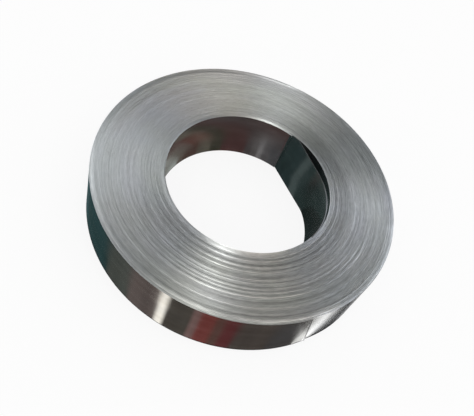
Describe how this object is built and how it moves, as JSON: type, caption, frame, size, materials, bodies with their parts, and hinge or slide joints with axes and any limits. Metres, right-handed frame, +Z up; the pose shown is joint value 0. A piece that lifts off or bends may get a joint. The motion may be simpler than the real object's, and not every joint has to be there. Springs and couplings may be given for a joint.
{
  "type": "steel strip coil",
  "caption": "Small flat-lying coil of bright slit steel strip: an open eye with a sprung loose inner lap, and turns that show as rings on both ends.",
  "frame": {"origin": "centre of the coil's footprint on the surface it lies on, on the winding axis", "axes": "+Z up along the winding axis; azimuths run from +X, anticlockwise seen from above, and the strip's inner end is at 75 degrees"},
  "size_m": [0.278, 0.278, 0.0525],
  "materials": {
    "strip_steel": "bright cold-rolled faces, satin slit edges"
  },
  "bodies": {
    "root": {"wound_strip": "strip_steel"}
  },
  "joints": []
}
